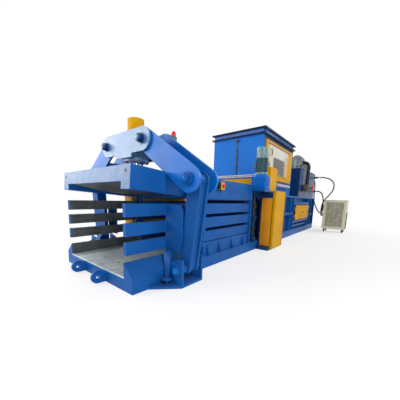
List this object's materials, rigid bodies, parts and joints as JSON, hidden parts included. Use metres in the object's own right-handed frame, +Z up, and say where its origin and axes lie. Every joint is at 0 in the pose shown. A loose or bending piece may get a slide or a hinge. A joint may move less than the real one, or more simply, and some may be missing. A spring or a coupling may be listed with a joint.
{
  "type": "horizontal baler",
  "caption": "Horizontal baling press with an open squeezing mouth under a pinned arch, feed hopper, wire tying unit, hydraulic unit on top and a wheeled oil chiller beside it",
  "frame": {"origin": "on the floor under the middle of the front sill, at the discharge mouth", "axes": "+X runs from the discharge mouth to the rear of the machine, +Y across to the far side, +Z up"},
  "size_m": [8.3842, 3.237, 2.574],
  "materials": {
    "blue_paint": "semi-gloss enamel",
    "pin_paint": "painted pin heads",
    "yellow_paint": "semi-gloss enamel",
    "bare_steel": "rolled, scuffed by bales",
    "chrome_rod": "ground and plated",
    "pipe_steel": "bright zinc plated tube",
    "motor_paint": "grey green enamel",
    "black_pipe": "satin black",
    "valve_iron": "as cast, oiled",
    "red_paint": "gloss enamel",
    "red_plastic": "gloss",
    "grey_paint": "satin",
    "window": "clear",
    "beige_paint": "powder coat",
    "caster_steel": "zinc plated",
    "wheel_rubber": "matt",
    "hose_rubber": "matt"
  },
  "bodies": {
    "frame": {"base_frame": "blue_paint", "cross_members": "blue_paint", "floor_plate": "bare_steel", "curb_liners": "bare_steel", "frame_pins": "pin_paint", "near_chamber_wall": "blue_paint", "far_chamber_wall": "blue_paint", "chamber_roof": "blue_paint", "tying_frame": "blue_paint", "tying_covers": "yellow_paint", "tying_top_guard": "yellow_paint", "twister_gearbox": "blue_paint", "twister_motor": "motor_paint", "hydraulic_pipes": "pipe_steel", "hopper_shell": "blue_paint", "hopper_rim": "blue_paint", "hopper_sensor": "grey_paint", "press_frame": "blue_paint", "main_cylinder": "yellow_paint", "oil_tank": "blue_paint", "pump_motors": "motor_paint", "pump_pipe": "black_pipe", "valve_block": "valve_iron", "switch_box": "yellow_paint", "far_guard": "yellow_paint", "chiller_cabinet": "beige_paint", "upper_hose": "hose_rubber", "lower_hose": "hose_rubber", "drain_hose": "hose_rubber"},
    "platen": {"mouth_platen": "blue_paint", "platen_liner": "bare_steel"},
    "near_post_body": {"near_post": "blue_paint", "near_post_pin": "pin_paint"},
    "far_post_body": {"far_post": "blue_paint", "far_post_pin": "pin_paint"},
    "near_arm_body": {"near_arm": "blue_paint"},
    "far_arm_body": {"far_arm": "blue_paint"},
    "link": {"link_beam": "blue_paint", "link_pins": "pin_paint", "squeeze_cylinder": "yellow_paint", "pressure_valve": "valve_iron"},
    "rod": {"squeeze_rod": "chrome_rod"},
    "near_panel": {"near_side_panel": "blue_paint", "near_panel_liners": "bare_steel"},
    "far_panel": {"far_side_panel": "blue_paint", "far_panel_liners": "bare_steel"},
    "ram_body": {"ram": "bare_steel", "main_rod": "chrome_rod"},
    "hopper_door_body": {"hopper_door": "yellow_paint", "door_window": "window"},
    "access_door_body": {"access_door": "yellow_paint"},
    "twister": {"twister_shaft": "chrome_rod"},
    "wheel_of_valve": {"handwheel": "red_paint"},
    "button": {"stop_button": "red_plastic"},
    "front_left_swivel": {"front_left_caster": "caster_steel"},
    "front_right_swivel": {"front_right_caster": "caster_steel"},
    "front_left_roller": {"front_left_wheel": "wheel_rubber"},
    "front_right_roller": {"front_right_wheel": "wheel_rubber"},
    "rear_left_roller": {"rear_left_wheel": "wheel_rubber"},
    "rear_right_roller": {"rear_right_wheel": "wheel_rubber"}
  },
  "joints": [
    {"name": "platen_hinge", "type": "hinge", "parent": "frame", "child": "platen", "pos_m": [1.128, 0, 1.325], "axis": [0, -1, 0], "range_deg": [0, 5.5]},
    {"name": "near_post_swing", "type": "hinge", "parent": "frame", "child": "near_post_body", "pos_m": [0.595, -1.035, 0.2], "axis": [-1, 0, 0], "range_deg": [0, 2.6]},
    {"name": "far_post_swing", "type": "hinge", "parent": "frame", "child": "far_post_body", "pos_m": [0.595, 1.035, 0.2], "axis": [1, 0, 0], "range_deg": [0, 2.6]},
    {"name": "near_arm_swing", "type": "hinge", "parent": "near_post_body", "child": "near_arm_body", "pos_m": [0.595, -1.14, 1.2], "axis": [1, 0, 0], "range_deg": [0, 7.4]},
    {"name": "far_arm_swing", "type": "hinge", "parent": "far_post_body", "child": "far_arm_body", "pos_m": [0.595, 1.14, 1.2], "axis": [-1, 0, 0], "range_deg": [0, 7.4]},
    {"name": "link_rise", "type": "slide", "parent": "frame", "child": "link", "axis": [0, 0, 1], "range_m": [0, 0.064]},
    {"name": "rod_push", "type": "slide", "parent": "frame", "child": "rod", "axis": [0, 0, -1], "range_m": [0, 0.053]},
    {"name": "near_panel_swing", "type": "hinge", "parent": "frame", "child": "near_panel", "pos_m": [1.125, -0.79, 0.6], "axis": [0, 0, -1], "range_deg": [0, 2.1]},
    {"name": "far_panel_swing", "type": "hinge", "parent": "frame", "child": "far_panel", "pos_m": [1.125, 0.79, 0.6], "axis": [0, 0, 1], "range_deg": [0, 2.1]},
    {"name": "ram_slide", "type": "slide", "parent": "frame", "child": "ram_body", "axis": [-1, 0, 0], "range_m": [0, 2.1]},
    {"name": "hopper_door_hinge", "type": "hinge", "parent": "frame", "child": "hopper_door_body", "pos_m": [5.368, -0.668, 1.9], "axis": [0, 0, 1], "range_deg": [0, 100]},
    {"name": "access_door_hinge", "type": "hinge", "parent": "frame", "child": "access_door_body", "pos_m": [5.504, -0.846, 0.66], "axis": [0, 0, -1], "range_deg": [0, 100]},
    {"name": "twister_spin", "type": "hinge", "parent": "frame", "child": "twister", "pos_m": [2.76, -0.8, 0.6], "axis": [0, 0, 1], "continuous": true},
    {"name": "handwheel_turn", "type": "hinge", "parent": "frame", "child": "wheel_of_valve", "pos_m": [6.49, -1.04, 1.43], "axis": [0, -1, 0], "continuous": true},
    {"name": "stop_button_press", "type": "slide", "parent": "frame", "child": "button", "axis": [0, 1, 0], "range_m": [0, 0.006], "stiffness_N_per_m": 900, "springref_m": -0.004},
    {"name": "front_left_swivel_turn", "type": "hinge", "parent": "frame", "child": "front_left_swivel", "pos_m": [7.19, -1.38, 0.1], "axis": [0, 0, 1], "continuous": true},
    {"name": "front_left_wheel_roll", "type": "hinge", "parent": "front_left_swivel", "child": "front_left_roller", "pos_m": [7.212, -1.38, 0.04], "axis": [0, 1, 0], "continuous": true},
    {"name": "rear_left_wheel_roll", "type": "hinge", "parent": "frame", "child": "rear_left_roller", "pos_m": [7.61, -1.38, 0.04], "axis": [0, 1, 0], "continuous": true},
    {"name": "front_right_swivel_turn", "type": "hinge", "parent": "frame", "child": "front_right_swivel", "pos_m": [7.19, -1.895, 0.1], "axis": [0, 0, 1], "continuous": true},
    {"name": "front_right_wheel_roll", "type": "hinge", "parent": "front_right_swivel", "child": "front_right_roller", "pos_m": [7.212, -1.895, 0.04], "axis": [0, 1, 0], "continuous": true},
    {"name": "rear_right_wheel_roll", "type": "hinge", "parent": "frame", "child": "rear_right_roller", "pos_m": [7.61, -1.895, 0.04], "axis": [0, 1, 0], "continuous": true}
  ],
  "couplings": [
    {"joint": "near_post_swing", "follows": "platen_hinge", "ratio": 0.45454},
    {"joint": "far_post_swing", "follows": "platen_hinge", "ratio": 0.45454},
    {"joint": "near_arm_swing", "follows": "platen_hinge", "ratio": 1.3146},
    {"joint": "far_arm_swing", "follows": "platen_hinge", "ratio": 1.3146},
    {"joint": "link_rise", "follows": "platen_hinge", "m_per_rad": 0.64718},
    {"joint": "rod_push", "follows": "platen_hinge", "m_per_rad": 0.53261},
    {"joint": "near_panel_swing", "follows": "platen_hinge", "ratio": 0.36364},
    {"joint": "far_panel_swing", "follows": "platen_hinge", "ratio": 0.36364}
  ]
}
